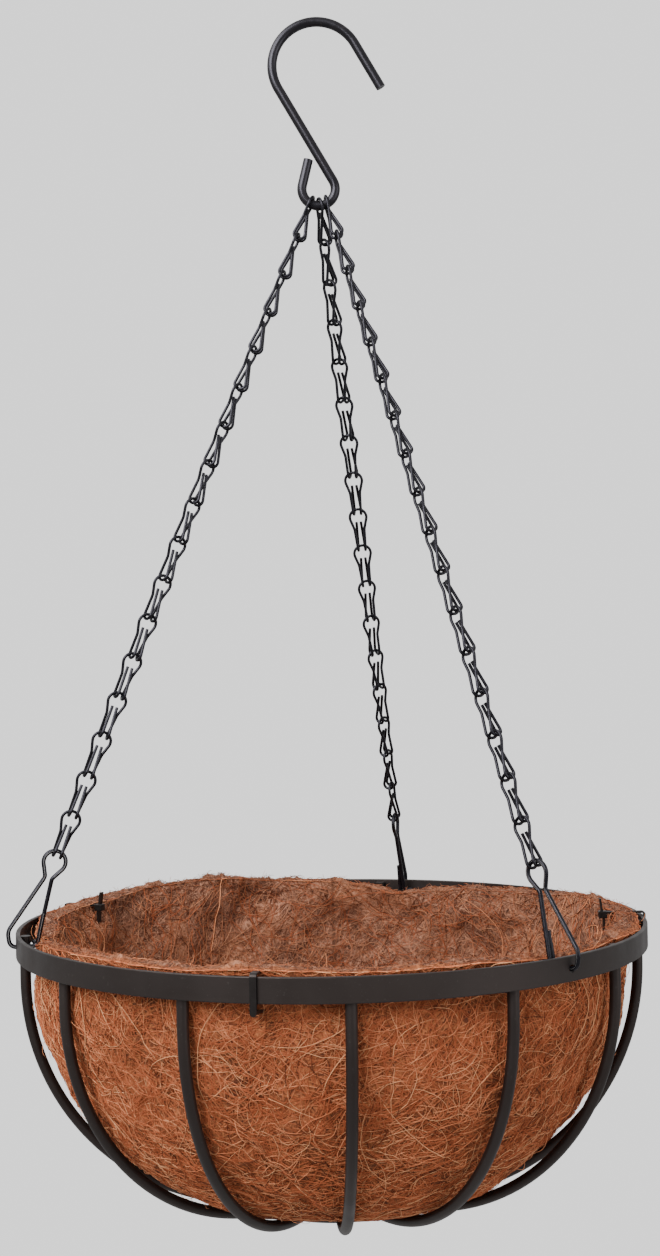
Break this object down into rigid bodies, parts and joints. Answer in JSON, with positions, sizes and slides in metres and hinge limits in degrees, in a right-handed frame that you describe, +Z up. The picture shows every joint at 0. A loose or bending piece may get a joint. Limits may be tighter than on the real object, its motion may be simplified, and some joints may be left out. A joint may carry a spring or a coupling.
{
  "type": "hanging basket",
  "caption": "Round wire hanging basket with a flat bar rim, a coconut fibre liner, and bent wire link chains that meet on an S-hook.",
  "frame": {"origin": "the seat of the S-hook: the inside top of its upper bend, where it rests on what it hangs from", "axes": "+Z up; the S-hook lies in the XZ plane with its upper tip towards +X; -Y is the front of the basket"},
  "size_m": [0.3584, 0.3556, 0.6765],
  "materials": {
    "powder_coat": "satin black powder coat",
    "wire_finish": "glossier black lacquer on bent wire, bare at the cut ends",
    "hook_finish": "satin brown-black coat with worn spots",
    "coir": "matted coconut fibre, matt",
    "black_nylon": "black nylon, satin"
  },
  "bodies": {
    "hook": {"s_hook": "hook_finish"},
    "basket": {"base_ring": "powder_coat", "clip_back": "wire_finish", "clip_left": "wire_finish", "clip_right": "wire_finish", "coir_liner": "coir", "rib_01": "powder_coat", "rib_02": "powder_coat", "rib_03": "powder_coat", "rib_04": "powder_coat", "rib_05": "powder_coat", "rib_06": "powder_coat", "rib_07": "powder_coat", "rib_08": "powder_coat", "rib_09": "powder_coat", "rib_10": "powder_coat", "rib_11": "powder_coat", "rib_12": "powder_coat", "rib_13": "powder_coat", "rim_band": "powder_coat", "tie_front": "black_nylon", "tie_left": "black_nylon", "tie_right": "black_nylon"},
    "chain_left": {"chain_left_1": "wire_finish", "chain_left_2": "wire_finish", "chain_left_3": "wire_finish", "chain_left_4": "wire_finish", "chain_left_5": "wire_finish", "chain_left_6": "wire_finish", "chain_left_7": "wire_finish", "chain_left_8": "wire_finish", "chain_left_9": "wire_finish"},
    "chain_back": {"chain_back_1": "wire_finish", "chain_back_2": "wire_finish", "chain_back_3": "wire_finish", "chain_back_4": "wire_finish", "chain_back_5": "wire_finish", "chain_back_6": "wire_finish", "chain_back_7": "wire_finish", "chain_back_8": "wire_finish", "chain_back_9": "wire_finish"},
    "chain_right": {"chain_right_1": "wire_finish", "chain_right_2": "wire_finish", "chain_right_3": "wire_finish", "chain_right_4": "wire_finish", "chain_right_5": "wire_finish", "chain_right_6": "wire_finish", "chain_right_7": "wire_finish", "chain_right_8": "wire_finish", "chain_right_9": "wire_finish"}
  },
  "joints": [
    {"name": "basket_swing", "type": "hinge", "parent": "hook", "child": "basket", "pos_m": [0, 0, -0.09395], "axis": [0, 1, 0], "range_deg": [-20, 20]},
    {"name": "chain_left_twist", "type": "hinge", "parent": "basket", "child": "chain_left", "pos_m": [-0.00298, 0.00033, -0.09861], "axis": [0.3695, 0.081, 0.9257], "range_deg": [-5, 5]},
    {"name": "chain_back_twist", "type": "hinge", "parent": "basket", "child": "chain_back", "pos_m": [0.00024, -0.00153, -0.09975], "axis": [-0.1055, -0.3738, 0.9215], "range_deg": [-5, 5]},
    {"name": "chain_right_twist", "type": "hinge", "parent": "basket", "child": "chain_right", "pos_m": [0.00361, 0.00122, -0.09845], "axis": [-0.2484, 0.289, 0.9245], "range_deg": [-5, 5]}
  ]
}
